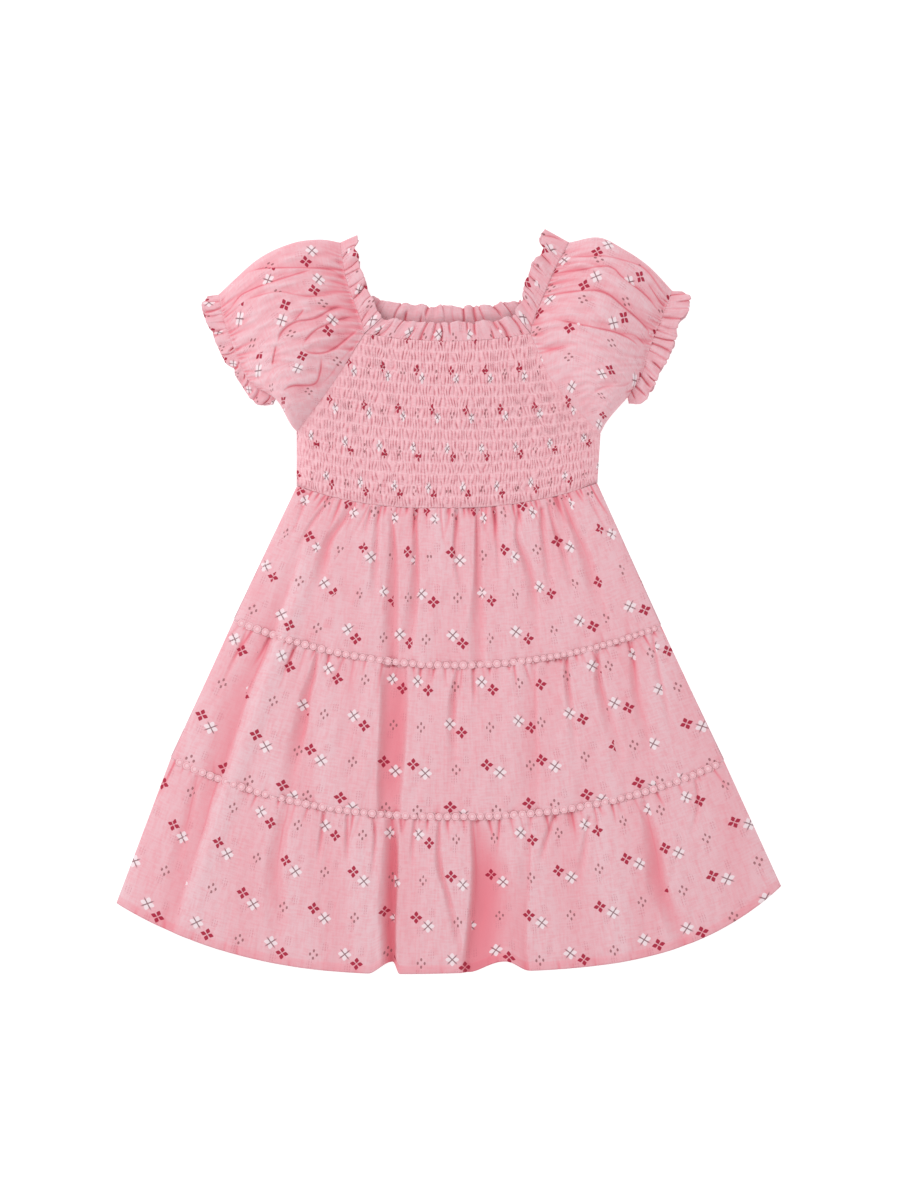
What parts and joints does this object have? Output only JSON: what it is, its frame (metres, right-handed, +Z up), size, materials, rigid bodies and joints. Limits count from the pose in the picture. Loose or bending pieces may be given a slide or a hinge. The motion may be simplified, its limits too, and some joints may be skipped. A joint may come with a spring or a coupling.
{
  "type": "toddler dress",
  "caption": "Toddler's short-sleeved cotton dress laid flat, with a shirred bodice, raglan puff sleeves, frilled neck and cuffs, and a skirt in gathered tiers.",
  "frame": {"origin": "centre of the bounding box in X and Y, on the surface that the dress lies on (z = 0)", "axes": "+Y from the hem to the neck, +Z up from the surface through the back and out of the front, +X towards the side that the dress's wearer calls left"},
  "size_m": [0.4651, 0.5202, 0.0238],
  "materials": {
    "cotton_dobby": "woven cotton, printed with small flowers",
    "shirred_cotton": "the same cotton, shirred with elastic thread",
    "picot_trim": "narrow picot trim, cotton"
  },
  "bodies": {
    "root": {"skirt_upper_front": "cotton_dobby", "skirt_upper_back": "cotton_dobby", "skirt_middle_front": "cotton_dobby", "skirt_middle_back": "cotton_dobby", "skirt_lower_front": "cotton_dobby", "skirt_lower_back": "cotton_dobby", "trim_upper_front": "picot_trim", "trim_upper_back": "picot_trim", "trim_lower_front": "picot_trim", "trim_lower_back": "picot_trim", "bodice_front": "shirred_cotton", "bodice_back": "shirred_cotton", "neck_ruffle_front": "cotton_dobby", "neck_ruffle_back": "cotton_dobby", "neck_ruffle_left": "cotton_dobby", "neck_ruffle_right": "cotton_dobby", "sleeve_left": "cotton_dobby", "sleeve_right": "cotton_dobby", "cuff_ruffle_left": "cotton_dobby", "cuff_ruffle_right": "cotton_dobby"}
  },
  "joints": []
}
